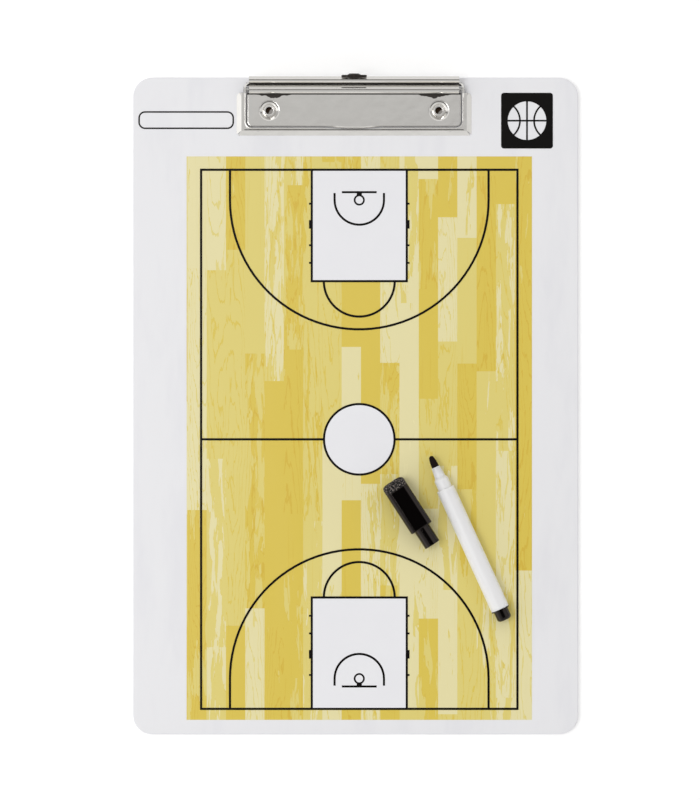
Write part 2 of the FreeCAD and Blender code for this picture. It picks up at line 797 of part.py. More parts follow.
def add_tray(body):
    """Land round the window with a sloped skirt on three sides."""
    under_land = "(dims.land_height - dims.jaw_sheet)"
    rear = "-dims.skirt_rear"
    loft(body, "AdditiveLoft", [tray_section(body, "skirt_foot", "dims.jaw_lift", False, rear),
                                tray_section(body, "skirt_fold", "dims.land_height", False, rear)])
    below = "(dims.jaw_lift - dims.jaw_sheet)"
    loft(body, "SubtractiveLoft", [tray_section(body, "inner_foot", below, True, back_wall),
                                   tray_section(body, "inner_fold", under_land, True, back_wall)])
    window = new_sketch(body, "window", "XY_Plane")
    corner = "(dims.plate_corner + dims.window_gap)"
    front = wall_path(window_half, window_front, corner, "dims.tongue_gap")
    draw(window, [(f"-{window_half}", back_wall)] + front + [(window_half, back_wall)])
    pocket(body, window, back=True)
    foot_half = f"({fold_half} + dims.side_skirt)"
    foot_front = f"({fold_front} + dims.front_skirt)"
    slits = new_sketch(body, "corner_cuts", "XY_Plane")
    for sign in ("-", ""):
        fold_corner = f"{sign}{fold_half}"
        foot_corner = f"{sign}{foot_half}"
        out = "-" if sign else "+"
        past = "dims.cut_past"
        flare = "dims.mitre_flare"
        draw(slits, [
            (fold_corner, f"-{fold_front}"),
            (f"{foot_corner} {out} {past}", f"-{foot_front} - {past} + {flare}"),
            (f"{foot_corner} {out} {past}", f"-{foot_front} - {past}"),
            (f"{foot_corner} {out} {past} - ({sign}{flare})", f"-{foot_front} - {past}"),
        ])
        cut_half = f"{sign}({foot_half} + {past})"
        cut_run = "dims.skirt_rear_cut"
        draw(slits, [
            (cut_half, f"{rear} + {past}"),
            (f"{sign}({foot_half} - {cut_run})", f"{rear} + {past}"),
            (cut_half, f"{rear} - {cut_run}"),
        ])
        draw(slits, [
            (fold_corner, f"{rear} - dims.skirt_slit"),
            (f"{sign}({fold_half} + dims.skirt_peak)", f"{rear} + {past}"),
            (f"{sign}({fold_half} + dims.skirt_peak / 2)", f"{rear} + {past}"),
        ])
    pocket(body, slits, back=True)
    pips = new_sketch(body, "pips", "XY_Plane", z="dims.land_height - dims.pip_height")
    for sign in ("-", ""):
        draw_circle(pips, f"{sign}({plate_half} - dims.pip_inset)", f"-{wall_front} - dims.pip_radius",
                    "dims.pip_radius")
    pad(body, pips, "2 * dims.pip_height")


def add_walls(body):
    """Upturned wall round the window, its ears on the pin and the back wall under the lever."""
    inner_corner = "(dims.plate_corner + dims.window_gap)"
    outer_corner = f"({inner_corner} + dims.jaw_sheet)"
    join = "-dims.ear_reach"
    outside = wall_path(wall_half, wall_front, outer_corner, "(dims.tongue_gap + dims.jaw_sheet)")
    inside = wall_path(window_half, window_front, inner_corner, "dims.tongue_gap")
    under_land = "(dims.land_height - dims.jaw_sheet)"
    front = new_sketch(body, "front_wall", "XY_Plane", z=under_land)
    draw(front, [(f"-{wall_half}", join)] + outside + [(wall_half, join), (window_half, join)]
         + turn_back(inside) + [(f"-{window_half}", join)])
    pad(body, front, f"dims.wall_height - {under_land}")
    wall_top = size("dims.wall_height")
    wall_end = size(join)
    fillet(body, "dims.wall_round",
           lambda edge: level(edge, "Z", wall_top) and not level(edge, "Y", wall_end))
    notch = new_sketch(body, "tongue_notch", "XY_Plane", z="dims.notch_height")
    notch_half = "dims.tongue_root / 2"
    notch_front = f"-({wall_front} + dims.tongue_depth)"
    draw(notch, rectangle(f"-{notch_half}", notch_front, notch_half, "-dims.plate_reach"))
    pocket(body, notch, back=True)
    ears = new_sketch(body, "ears", "XY_Plane", z=f"{pin_z} - dims.ear_drop")
    bend = "dims.ear_bend"
    outer_bend = f"({bend} + dims.jaw_sheet)"
    outer_back = f"({back_wall} + dims.jaw_sheet)"
    draw(ears, [
        (wall_half, join),
        (wall_half, f"{outer_back} - {outer_bend}", outer_bend, 1),
        (f"{wall_half} - {outer_bend}", outer_back),
        (f"-{wall_half} + {outer_bend}", outer_back, outer_bend, 1),
        (f"-{wall_half}", f"{outer_back} - {outer_bend}"),
        (f"-{wall_half}", join),
        (f"-{window_half}", join),
        (f"-{window_half}", f"{back_wall} - {bend}", bend, -1),
        (f"-{window_half} + {bend}", back_wall),
        (f"{window_half} - {bend}", back_wall, bend, -1),
        (window_half, f"{back_wall} - {bend}"),
        (window_half, join),
    ])
    pad(body, ears, "dims.ear_drop + dims.ear_rise")
    trims = new_sketch(body, "ear_trims", "YZ_Plane")
    ear_top = f"({pin_z} + dims.ear_rise)"
    lower = f"({pin_z} - dims.lever_lower)"
    back_top = f"({pin_z} + dims.ear_back_rise)"
    past = "dims.cut_past"
    draw(trims, [
        (f"{join} - {past}", "dims.wall_height"),
        (join, "dims.wall_height"),
        (f"{join} + dims.ear_slope", f"{ear_top} + {past}"),
        (f"{join} - {past}", f"{ear_top} + {past}"),
    ])
    draw(trims, [
        (f"{outer_back} - {outer_bend}", f"{ear_top} + {past}"),
        (f"{outer_back} - {outer_bend}", f"{ear_top} - dims.ear_shoulder"),
        (back_wall, back_top),
        (f"{outer_back} + {past}", back_top),
        (f"{outer_back} + {past}", f"{ear_top} + {past}"),
    ])
    draw(trims, [
        (f"{outer_back} - {outer_bend} + dims.jaw_sheet", f"{pin_z} - dims.ear_drop - {past}"),
        (f"{outer_back} + {past}", f"{pin_z} - dims.ear_drop - {past}"),
        (f"{outer_back} + {past}", lower),
        (f"{outer_back} - dims.ear_foot_run", lower),
    ])
    pocket(body, trims, symmetric=True)


def turn_back(path):
    """The same open run of points, walked the other way."""
    points = []
    for index in range(len(path) - 1, -1, -1):
        u, v = path[index][:2]
        before = path[index - 1] if index else ()
        points.append((u, v, before[2], -before[3]) if len(before) == 4 else (u, v))
    return points


curl_y = f"({back_wall} + dims.curl_radius)"
curl_z = f"({pin_z} + dims.curl_rise)"
eyelet_y = f"({curl_y} + dims.lug_offset)"
eyelet_z = f"({curl_z} + dims.curl_radius + dims.lug_gap + dims.eyelet_height / 2)"
eyelet_tilt = "(90 + dims.lug_lean)"
lug_side = "(dims.eyelet_width / 2 - dims.lug_inset)"
lug_rise = "(dims.eyelet_height / 2 - dims.lug_inset)"
lug_flat = f"({lug_side} - {lug_rise})"


def add_lever(body):
    """Upright thumb lever whose top edge is curled back, with a lug on the curl for the eyelet."""
    lever = new_sketch(body, "lever", "YZ_Plane")
    lower = f"{pin_z} - dims.lever_lower"
    outer = "dims.curl_radius"
    inner = "(dims.curl_radius - dims.jaw_sheet)"
    lip = "dims.curl_lip_angle"
    draw(lever, [
        (back_wall, lower),
        (back_wall, curl_z, outer, -1),
        (curl_y, f"{curl_z} + {outer}", outer, -1),
        (f"{curl_y} + {outer}", curl_z, outer, -1),
        (f"{curl_y} + {outer} * cos({lip})", f"{curl_z} - {outer} * sin({lip})"),
        (f"{curl_y} + {inner} * cos({lip})", f"{curl_z} - {inner} * sin({lip})", inner, 1),
        (f"{curl_y} + {inner}", curl_z, inner, 1),
        (curl_y, f"{curl_z} + {inner}", inner, 1),
        (f"{back_wall} + dims.jaw_sheet", curl_z),
        (f"{back_wall} + dims.jaw_sheet", lower),
    ])
    pad(body, lever, f"2 * ({plate_half} - dims.lever_inset)", symmetric=True)
    lug = new_sketch(body, "lug", "XY_Plane", y=eyelet_y, z=eyelet_z, tilt=eyelet_tilt)
    foot = f"{curl_z} + dims.lug_foot - {eyelet_z}"
    draw(lug, [
        (f"-{lug_side}", foot),
        (lug_side, foot),
        (lug_side, "0", lug_rise, 1),
        (lug_flat, lug_rise),
        (f"-{lug_flat}", lug_rise, lug_rise, 1),
        (f"-{lug_side}", "0"),
    ])
    pad(body, lug, "dims.jaw_sheet", back=True)
    hole = new_sketch(body, "eyelet_hole", "XY_Plane", y=eyelet_y, z=eyelet_z, tilt=eyelet_tilt)
    draw_circle(hole, "0", "0", "dims.eyelet_hole + dims.eyelet_sleeve + dims.eyelet_clearance")
    pocket(body, hole, symmetric=True, depth="4 * dims.jaw_sheet")


def make_eyelet():
    """Dark oval eyelet round the lug: on each face a flange and a sloped ring, a rim and the hanging hole."""
    body = new_body("hanging_eyelet")
    place(body, "dims.clip_x", f"{pin_y} + {eyelet_y}", f"{film_top} + {eyelet_z}", eyelet_tilt,
          Vector(1, 0, 0))
    oval = centred("dims.eyelet_width", "dims.eyelet_height")
    corner = "(dims.eyelet_height / 2 - dims.eyelet_flange)"
    faces = {"front": ("0", "+"), "rear": ("-dims.jaw_sheet", "-")}
    sleeve = new_sketch(body, "sleeve", "XY_Plane", z="-dims.jaw_sheet - dims.eyelet_ring_proud")
    draw_circle(sleeve, "0", "0", "dims.eyelet_hole + dims.eyelet_sleeve")
    draw_circle(sleeve, "0", "0", "dims.eyelet_hole")
    pad(body, sleeve, "dims.jaw_sheet + 2 * dims.eyelet_ring_proud")
    rim = new_sketch(body, "rim", "XY_Plane")
    side = "dims.eyelet_width / 2"
    top = "dims.eyelet_height / 2"
    inner_side = f"({lug_side} + dims.eyelet_clearance)"
    inner_top = f"({lug_rise} + dims.eyelet_clearance)"
    draw(rim, [
        (side, "0"),
        (side, f"{top} - {corner}", corner, 1),
        (f"{side} - {corner}", top),
        (f"{corner} - {side}", top, corner, 1),
        (f"-{side}", f"{top} - {corner}"),
        (f"-{side}", "0"),
        (f"-{inner_side}", "0", inner_top, -1),
        (f"-{lug_flat}", inner_top),
        (lug_flat, inner_top, inner_top, -1),
        (inner_side, "0"),
    ])
    pad(body, rim, "dims.jaw_sheet", back=True)
    for name, (start, sign) in faces.items():
        flange = new_sketch(body, f"{name}_flange", "XY_Plane", z=start)
        draw(flange, rounded(*oval, corner))
        draw_circle(flange, "0", "0", "dims.eyelet_hole")
        pad(body, flange, "dims.eyelet_flange", back=sign == "-")
        ring = new_sketch(body, f"{name}_ring", "XZ_Plane")
        proud = f"{start} {sign} dims.eyelet_ring_proud"
        draw(ring, [
            ("dims.eyelet_hole", start),
            ("dims.eyelet_ring", start),
            ("dims.eyelet_ring", f"{start} {sign} dims.eyelet_flange"),
            ("dims.eyelet_crown", proud),
            ("dims.eyelet_hole", proud),
        ])
        revolve(body, ring, "V_Axis")
    keep(body, "hanging_eyelet")


# Clip: hinge pin and rivets
def make_pin():
    body = new_body("hinge_pin")
    place(body, "dims.clip_x", pin_y, f"{film_top} + {pin_z}")
    half = f"({wall_half} + dims.pin_clearance)"
    profile = new_sketch(body, "profile", "XY_Plane")
    draw(profile, [
        (f"-{half} - dims.pin_head", "0"),
        (f"{half} + dims.pin_head", "0"),
        (f"{half} + dims.pin_head", "dims.pin_head_radius - dims.pin_head / 2"),
        (f"{half} + dims.pin_head / 2", "dims.pin_head_radius"),
        (half, "dims.pin_head_radius"),
        (half, "dims.pin_radius"),
        (f"-{half}", "dims.pin_radius"),
        (f"-{half}", "dims.pin_head_radius"),
        (f"-{half} - dims.pin_head / 2", "dims.pin_head_radius"),
        (f"-{half} - dims.pin_head", "dims.pin_head_radius - dims.pin_head / 2"),
    ])
    revolve(body, profile, "H_Axis")
    keep(body, "hinge_pin")


def make_rivet(side):
    """Hollow rivet: closed head in the back of the panel, split and flared end in the dimple."""
    body = new_body(f"rivet_{side}")
    place(body, f"dims.clip_x + {rivet_sides[side]}", rivet_y, film_top)
    foot = f"(dims.rivet_head_recess - {film_top})"
    head_top = f"({foot} + dims.rivet_head_thickness)"
    flare_top = "(dims.plate_sheet + dims.rivet_flare_height)"
    turn = "dims.rivet_flare_round"
    profile = new_sketch(body, "profile", "XZ_Plane")
    draw(profile, [
        ("0", foot),
        ("dims.rivet_head", foot),
        ("dims.rivet_head", head_top),
        ("dims.rivet_shank", head_top),
        ("dims.rivet_shank", "dims.plate_sheet"),
        ("dims.rivet_flare", "dims.plate_sheet"),
        ("dims.rivet_flare", f"{flare_top} - {turn}", turn, 1),
        (f"dims.rivet_flare - {turn}", flare_top),
        (f"dims.rivet_bore + {turn}", flare_top, turn, 1),
        ("dims.rivet_bore", f"{flare_top} - {turn}"),
        ("dims.rivet_bore", head_top),
        ("0", head_top),
    ])
    revolve(body, profile, "V_Axis")
    slit = new_sketch(body, "slit", "XY_Plane", z="dims.plate_sheet")
    slit_end = "dims.rivet_flare + dims.rivet_clearance"
    draw(slit, rectangle("dims.rivet_shank", "-dims.rivet_slit / 2", slit_end, "dims.rivet_slit / 2"))
    slit_cut = pocket(body, slit, back=True)
    pattern = body.newObject("PartDesign::PolarPattern", f"{body.Name}_slits")
    pattern.Originals = [slit_cut]
    pattern.Axis = (profile, ["V_Axis"])
    pattern.Angle = 360
    pattern.setExpression("Occurrences", "dims.rivet_slits")
    body.Tip = pattern
    doc.recompute()
    keep(body, f"rivet_{side}")


# Torsion springs: one unbroken wire of straight legs and biarc turns
def arc_edge(start, tangent, end):
    """Arc that leaves start along the tangent and reaches end."""
    chord = end - start
    along = Vector(chord).normalize()
    bisector = (tangent + along).normalize()
    half_angle = math.acos(max(-1.0, min(1.0, tangent.dot(along)))) / 2
    middle = start + bisector * (chord.Length / (2 * math.cos(half_angle)))
    return Part.Arc(start, middle, end).toShape()


def biarc(start, start_tangent, end, end_tangent):
    """Two arcs that meet with one tangent."""
    span = end - start
    spread = 2 * (1 - start_tangent.dot(end_tangent))
    lean = span.dot(start_tangent + end_tangent)
    reach = (-lean + math.sqrt(lean * lean + spread * span.dot(span))) / spread
    first = start + start_tangent * reach
    last = end - end_tangent * reach
    joint = (first + last) / 2
    across = (last - first).normalize()
    return [arc_edge(start, start_tangent, joint), arc_edge(joint, across, end)]


def make_spring(side, centre_x):
    wire = size("dims.wire_radius")
    radius = size("dims.coil_radius")
    pitch = size("dims.coil_pitch")
    turns = int(size("dims.coil_turns"))
    quarter = math.pi / 2
    slope = pitch / (2 * math.pi)
    first_x = -pitch * turns / 2

    def coil_point(angle):
        return Vector(first_x + slope * angle, radius * math.sin(angle), -radius * math.cos(angle))

    def coil_tangent(angle):
        return Vector(slope, radius * math.cos(angle), radius * math.sin(angle)).normalize()

    start = coil_point(0)
    end = coil_point(4 * quarter * turns)
    ahead = coil_tangent(0)
    front_tip = start - ahead * size("dims.spring_front_leg")
    path = [Part.LineSegment(front_tip, start).toShape()]
    for step in range(4 * turns):
        here = step * quarter
        there = here + quarter
        path += biarc(coil_point(here), coil_tangent(here), coil_point(there), coil_tangent(there))
    upward = Vector(0, 0, 1)
    corner = end + ahead * size("dims.spring_rear_leg")
    turn = math.acos(ahead.dot(upward))
    set_back = size("dims.spring_bend") * math.tan(turn / 2)
    bend_start = corner - ahead * set_back
    bend_end = corner + upward * set_back
    path.append(Part.LineSegment(end, bend_start).toShape())
    path.append(arc_edge(bend_start, ahead, bend_end))
    path.append(Part.LineSegment(bend_end, corner + upward * size("dims.spring_upright")).toShape())
    spine = Part.Wire(path)
    section = Part.Wire(Part.Circle(front_tip, ahead, wire).toShape())
    shell = Part.BRepOffsetAPI.MakePipeShell(spine)
    shell.add(section)
    shell.build()
    shell.makeSolid()
    item = doc.addObject("Part::Feature", f"torsion_spring_{side}")
    item.Shape = shell.shape()
    place(item, f"dims.clip_x + {centre_x}", pin_y, f"{film_top} + {pin_z}")
    report_spring(side, spine, item.Shape, wire)
    keep(item, f"torsion_spring_{side}")


def report_spring(side, spine, solid, wire):
    """Least gap between stretches of the wire more than half a turn apart, and volume against its length."""
    spacing = wire / 2
    points = spine.discretize(int(spine.Length / spacing))
    apart = int(math.pi * size("dims.coil_radius") / spacing)
    nearest = min(
        points[first].distanceToPoint(points[second])
        for first in range(len(points))
        for second in range(first + apart, len(points))
    )
    section = math.pi * wire * wire
    print(f"spring {side}: gap to itself {nearest - 2 * wire:.3f} mm, "
          f"volume over section times length {solid.Volume / (section * spine.Length):.4f}")


# Pen: every piece is turned round its own axis, measured from the nib's point
cone_end = "(dims.nib_length + dims.nozzle_cone)"
collar_start = f"({cone_end} + dims.collar_shoulder)"
barrel_start = f"({collar_start} + dims.collar_length)"
barrel_end = f"({barrel_start} + dims.barrel_length)"
reservoir_start = "(dims.nib_length + dims.nib_shank)"
spigot_radius = "(dims.barrel_bore - dims.pen_fit)"
reservoir_bore = "(dims.reservoir_radius + dims.pen_fit)"


def make_turned(label, place_body, path):
    body = new_body(label)
    place_body(body)
    profile = new_sketch(body, "profile", "XY_Plane")
    draw(profile, path)
    revolve(body, profile, "H_Axis")
    return body


def place_pen(body):
    height = f"{field_top} + dims.barrel_rear_radius + dims.pen_rest_gap"
    place(body, f"{board_right} - dims.pen_tip_side", "dims.pen_tip_y", height, "dims.pen_angle")


def make_pen():
    tip = "dims.nib_tip_round"
    run = f"(dims.nib_length - {tip})"
    ogive = (f"((pow({run}; 2) + pow(dims.nib_radius; 2) - pow({tip}; 2))"
             f" / (2 * (dims.nib_radius - {tip})))")
    tip_run = f"{tip} - {tip} * {run} / ({ogive} - {tip})"
    tip_rise = f"{tip} * ({ogive} - dims.nib_radius) / ({ogive} - {tip})"
    nib = make_turned("pen_nib", place_pen, [
        ("0", "0"),
        (reservoir_start, "0"),
        (reservoir_start, "dims.nib_radius"),
        ("dims.nib_length", "dims.nib_radius", ogive, 1),
        (tip_run, tip_rise, tip, 1),
    ])
    keep(nib, "pen_nib")
    nib_hole = "dims.nib_radius + dims.pen_fit"
    nozzle = make_turned("pen_nozzle", place_pen, [
        ("dims.nib_length", nib_hole),
        (reservoir_start, nib_hole),
        (reservoir_start, reservoir_bore),
        (f"{barrel_start} + dims.spigot_length", reservoir_bore),
        (f"{barrel_start} + dims.spigot_length", spigot_radius),
        (barrel_start, spigot_radius),
        (barrel_start, "dims.collar_radius"),
        (collar_start, "dims.collar_radius"),
        (cone_end, "dims.nozzle_cone_radius"),
        ("dims.nib_length", "dims.nozzle_tip_radius"),
    ])
    keep(nozzle, "pen_nozzle")
    turn = "dims.barrel_round"
    barrel = make_turned("pen_barrel", place_pen, [
        (barrel_start, "dims.barrel_bore"),
        (barrel_end, "dims.barrel_bore"),
        (barrel_end, "dims.barrel_rear_radius"),
        (f"{barrel_start} + {turn}", "dims.barrel_front_radius", turn, 1),
        (barrel_start, f"dims.barrel_front_radius - {turn}"),
    ])
    keep(barrel, "pen_barrel")
    plug_inner = f"({barrel_end} - dims.spigot_length)"
    reservoir = make_turned("pen_ink_reservoir", place_pen, rectangle(
        reservoir_start, "0", f"{plug_inner} - dims.reservoir_gap", "dims.reservoir_radius"))
    keep(reservoir, "pen_ink_reservoir")
    flange_end = f"({barrel_end} + dims.plug_flange)"
    stub_end = f"({flange_end} + dims.plug_stub)"
    plug_turn = "dims.plug_round"
    plug = make_turned("pen_end_plug", place_pen, [
        (plug_inner, "0"),
        (stub_end, "0"),
        (stub_end, f"dims.plug_stub_radius - {plug_turn}", plug_turn, 1),
        (f"{stub_end} - {plug_turn}", "dims.plug_stub_radius"),
        (flange_end, "dims.plug_stub_radius"),
        (flange_end, "dims.barrel_rear_radius"),
        (barrel_end, "dims.barrel_rear_radius"),
        (barrel_end, spigot_radius),
        (plug_inner, spigot_radius),
    ])
    keep(plug, "pen_end_plug")


# Cap: square body with the felt on one end and a round skirt on the other
body_end = "(dims.felt_length + dims.cap_body)"
cap_end = f"({body_end} + dims.cap_skirt)"
socket_radius = "(dims.collar_radius + dims.pen_fit)"


def place_cap(body):
    height = f"{field_top} + dims.cap_width / 2 + dims.cap_rest_gap"
    place(body, f"{board_right} - dims.cap_side", "dims.cap_y", height, "dims.cap_angle")


def make_cap():
    body = new_body("cap_shell")
    place_cap(body)
    square = new_sketch(body, "square", "YZ_Plane", z="dims.felt_length")
    draw(square, rounded(*centred("dims.cap_width", "dims.cap_width"), "dims.cap_corner"))
    pad(body, square, "dims.cap_body")
    shoulder = size(body_end)
    rim = size("dims.felt_length")
    fillet(body, "dims.cap_edge_round", lambda edge: level(edge, "X", shoulder))
    fillet(body, "dims.cap_rim_round", lambda edge: level(edge, "X", rim))
    skirt = new_sketch(body, "skirt", "YZ_Plane", z=body_end)
    draw_circle(skirt, "0", "0", "dims.cap_skirt_radius")
    pad(body, skirt, "dims.cap_skirt")
    socket_depth = "(dims.collar_length + dims.cap_bore_margin)"
    sockets = {
        "socket": (socket_radius, socket_depth),
        "chamber": ("dims.cap_chamber_radius", f"{barrel_start} + dims.cap_chamber_margin"),
    }
    for name, (radius, depth) in sockets.items():
        mouth = new_sketch(body, name, "YZ_Plane", z=cap_end)
        draw_circle(mouth, "0", "0", radius)
        pocket(body, mouth, depth=depth)
    keep(body, "cap_shell")


def make_felt():
    body = new_body("cap_eraser_felt")
    place_cap(body)
    square = new_sketch(body, "square", "YZ_Plane")
    side = "(dims.cap_width - 2 * dims.felt_inset)"
    draw(square, rounded(*centred(side, side), "(dims.cap_corner - dims.felt_inset)"))
    pad(body, square, "dims.felt_length")
    fillet(body, "dims.felt_round", lambda edge: level(edge, "X", 0))
    keep(body, "cap_eraser_felt")


def check_and_write():
    """Stop on any failed object, then write one file for each sub-part."""
    failed = [item.Name for item in doc.Objects if {"Invalid", "Error"} & set(item.State)]
    if failed:
        raise RuntimeError(f"failed objects: {failed}")
    for item in subparts:
        if item.Shape.isNull() or not item.Shape.isValid() or not item.Shape.Solids:
            raise RuntimeError(f"bad shape: {item.Label}")
    os.makedirs("parts", exist_ok=True)
    for item in subparts:
        item.Shape.exportStep(f"parts/{item.Label}.step")
        print(f"{item.Label}: {len(item.Shape.Solids)} solid(s), {item.Shape.Volume:.2f} mm3")


make_panel()
make_film()
make_court()
make_name_frame()
make_badge()
make_clip_base()
make_clip_jaw()
make_eyelet()
make_pin()
for rivet_side in rivet_sides:
    make_rivet(rivet_side)
for spring_side, spring_sign in (("left", "-"), ("right", "")):
    make_spring(spring_side, f"{spring_sign}dims.spring_spacing / 2")
make_pen()
make_cap()
make_felt()
doc.recompute()
check_and_write()
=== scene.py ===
import json
import math
import random

import bmesh
import bpy
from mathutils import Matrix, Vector, noise


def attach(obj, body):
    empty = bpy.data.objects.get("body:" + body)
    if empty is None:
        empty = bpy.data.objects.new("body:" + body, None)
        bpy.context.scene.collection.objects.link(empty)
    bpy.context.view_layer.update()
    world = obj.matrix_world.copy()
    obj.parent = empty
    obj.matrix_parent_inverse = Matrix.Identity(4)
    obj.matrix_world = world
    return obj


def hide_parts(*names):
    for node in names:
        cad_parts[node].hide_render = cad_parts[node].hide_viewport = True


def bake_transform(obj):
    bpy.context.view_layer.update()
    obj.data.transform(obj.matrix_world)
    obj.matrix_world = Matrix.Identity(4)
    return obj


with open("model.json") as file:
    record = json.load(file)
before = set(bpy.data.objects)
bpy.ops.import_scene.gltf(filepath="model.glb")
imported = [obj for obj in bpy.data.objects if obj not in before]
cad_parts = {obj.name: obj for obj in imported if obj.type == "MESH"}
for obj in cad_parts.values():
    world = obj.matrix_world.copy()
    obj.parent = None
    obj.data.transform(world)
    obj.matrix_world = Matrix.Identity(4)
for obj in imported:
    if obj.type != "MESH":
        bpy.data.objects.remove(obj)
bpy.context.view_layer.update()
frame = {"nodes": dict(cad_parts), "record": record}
nodes = frame["nodes"]
print("frame loaded:", len(nodes), "pieces")


class Wire:  # one output socket that can be used in sums
    def __init__(self, sheet, socket):
        self.sheet = sheet
        self.socket = socket

    def at(self, out):  # another output of the same node
        return Wire(self.sheet, self.socket.node.outputs[out])

    def __add__(self, other):
        return self.sheet.maths("ADD", self, other)

    def __radd__(self, other):
        return self.sheet.maths("ADD", other, self)

    def __sub__(self, other):
        return self.sheet.maths("SUBTRACT", self, other)

    def __rsub__(self, other):
        return self.sheet.maths("SUBTRACT", other, self)

    def __mul__(self, other):
        return self.sheet.maths("MULTIPLY", self, other)

    def __rmul__(self, other):
        return self.sheet.maths("MULTIPLY", other, self)

    def __truediv__(self, other):
        return self.sheet.maths("DIVIDE", self, other)

    def __rtruediv__(self, other):
        return self.sheet.maths("DIVIDE", other, self)

    def __pow__(self, other):
        return self.sheet.maths("POWER", self, other)

    def __gt__(self, other):
        return self.sheet.maths("GREATER_THAN", self, other)

    def __lt__(self, other):
        return self.sheet.maths("LESS_THAN", self, other)

    def __abs__(self):
        return self.sheet.maths("ABSOLUTE", self)

    def __floor__(self):
        return self.sheet.maths("FLOOR", self)


class NodeSheet:  # adds nodes to one tree
    def __init__(self, tree):
        self.tree = tree

    def node(self, kind, settings={}, sockets={}, out=0):
        made = self.tree.nodes.new(kind)
        for key, value in settings.items():
            if key == "stops":
                self.setStops(made.color_ramp, value)
            elif key == "steps":
                made.color_ramp.interpolation = value
            else:
                setattr(made, key, value)
        for key, value in sockets.items():
            self.feed(made.inputs[key], value)
        return Wire(self, made.outputs[out])

    def setStops(self, ramp, stops):
        while len(ramp.elements) < len(stops):
            ramp.elements.new(1.0)
        for element, (place, colour) in zip(ramp.elements, stops):
            element.position = place
            element.color = colour

    def feed(self, socket, value):
        if isinstance(value, Wire):
            self.tree.links.new(value.socket, socket)
        else:
            socket.default_value = value

    def maths(self, operation, *values):
        return self.node("ShaderNodeMath", {"operation": operation}, dict(enumerate(values)))

    def ease(self, value, low, high):  # 0 below low, 1 above high, smooth between
        return self.node("ShaderNodeMapRange", {"interpolation_type": "SMOOTHSTEP"},
                         {"Value": value, "From Min": low, "From Max": high})

    def blend(self, factor, first, second):  # two colours
        return self.node("ShaderNodeMix", {"data_type": "RGBA"}, {0: factor, 6: first, 7: second}, 2)

    def ramp(self, value, stops, steps="LINEAR"):
        return self.node("ShaderNodeValToRGB", {"stops": stops, "steps": steps}, {0: value})

    def join(self, x, y, z):
        return self.node("ShaderNodeCombineXYZ", {}, {0: x, 1: y, 2: z})

    def split(self, vector):
        first = self.node("ShaderNodeSeparateXYZ", {}, {0: vector})
        return first, first.at(1), first.at(2)

    def cloud(self, vector, scale, detail=2.0, rough=0.5):  # soft noise from 0 to 1
        return self.node("ShaderNodeTexNoise", {},
                         {"Vector": vector, "Scale": scale, "Detail": detail, "Roughness": rough})

    def dice(self, first, second):  # one steady random value for each pair of whole numbers
        return self.node("ShaderNodeTexWhiteNoise", {"noise_dimensions": "2D"},
                         {"Vector": self.join(first, second, 0.0)})


class Finish(NodeSheet):  # one material on a Principled shader
    def __init__(self, name, fixed):
        self.material = bpy.data.materials.new(name)
        self.material.use_nodes = True
        super().__init__(self.material.node_tree)
        self.shader = self.tree.nodes["Principled BSDF"]
        for key, value in fixed.items():
            self.shader.inputs[key].default_value = value

    def spot(self):  # the place on the piece in millimetres, in the board's frame
        place = self.node("ShaderNodeTexCoord", {}, {}, "Object")
        return self.node("ShaderNodeVectorMath", {"operation": "SCALE"}, {0: place, "Scale": 1000.0})

    def stretch(self, vector, x, y, z):  # squeezes the place before a noise
        return self.node("ShaderNodeVectorMath", {"operation": "MULTIPLY"}, {0: vector, 1: (x, y, z)})

    def bump(self, height):  # height in millimetres
        return self.node("ShaderNodeBump", {}, {"Strength": 1.0, "Distance": 0.001, "Height": height})

    def give(self, **wires):
        names = {"colour": "Base Color", "rough": "Roughness", "metal": "Metallic", "normal": "Normal"}
        for key, wire in wires.items():
            self.feed(self.shader.inputs[names[key]], wire)
        return self.material


lightLevel = 0.955  # how bright a white surface on the board shows


def screen(red, green, blue):  # a colour seen on screen, as the base colour that shows it
    def linear(value):
        value = value / 255
        return value / 12.92 if value <= 0.04045 else ((value + 0.055) / 1.055) ** 2.4
    return (linear(red) / lightLevel, linear(green) / lightLevel, linear(blue) / lightLevel, 1.0)


def wear(material, *names):
    for name in names:
        data = nodes[name].data
        data.materials.clear()
        data.materials.append(material)


# board

panelLook = {"white": screen(233, 233, 236), "shade": screen(228, 228, 232)}


def panelPlastic():
    it = Finish("panelPlastic", {"IOR": 1.47})
    spot = it.spot()
    patches = it.cloud(spot, 0.03, 3.0)
    grain = it.cloud(spot, 3.2, 3.0, 0.6)
    colour = it.blend(patches, panelLook["white"], panelLook["shade"])
    return it.give(colour=colour, rough=0.36 + 0.12 * grain, normal=it.bump(grain * 0.02))


filmLook = {
    "white": screen(234, 234, 237),
    "smear": screen(229, 229, 233),
    "paintedShade": (0.02, 0.014, 0.010, 1.0),  # painted shade on the film, seen through the gap behind the clip's roll
    "gapShadeY": (172.2, 174.4),            # mm
    "gapShadeX": (-59.0, 57.2),
    "gapShadeEdge": 0.4,
}


def filmPlastic():
    it = Finish("filmPlastic", {"IOR": 1.5})
    spot = it.spot()
    smears = it.cloud(it.stretch(spot, 0.05, 0.012, 0.05), 1.0, 4.0, 0.6)  # left by the felt
    ripple = it.cloud(spot, 0.12, 2.0)
    colour = it.blend(it.ease(smears, 0.42, 0.7), filmLook["white"], filmLook["smear"])
    x, y, z = it.split(spot)
    (low, high), (left, right) = filmLook["gapShadeY"], filmLook["gapShadeX"]
    edge = filmLook["gapShadeEdge"]
    # painted shade: a dark line on the film under the gap behind the clip's roll
    gap = it.ease(y, low, low + edge) * it.ease(high - y, 0.0, edge) * (x > left) * (x < right)
    colour = it.blend(gap, colour, filmLook["paintedShade"])
    return it.give(colour=colour, rough=0.14 + 0.16 * smears + 0.5 * gap, normal=it.bump(ripple * 0.05))


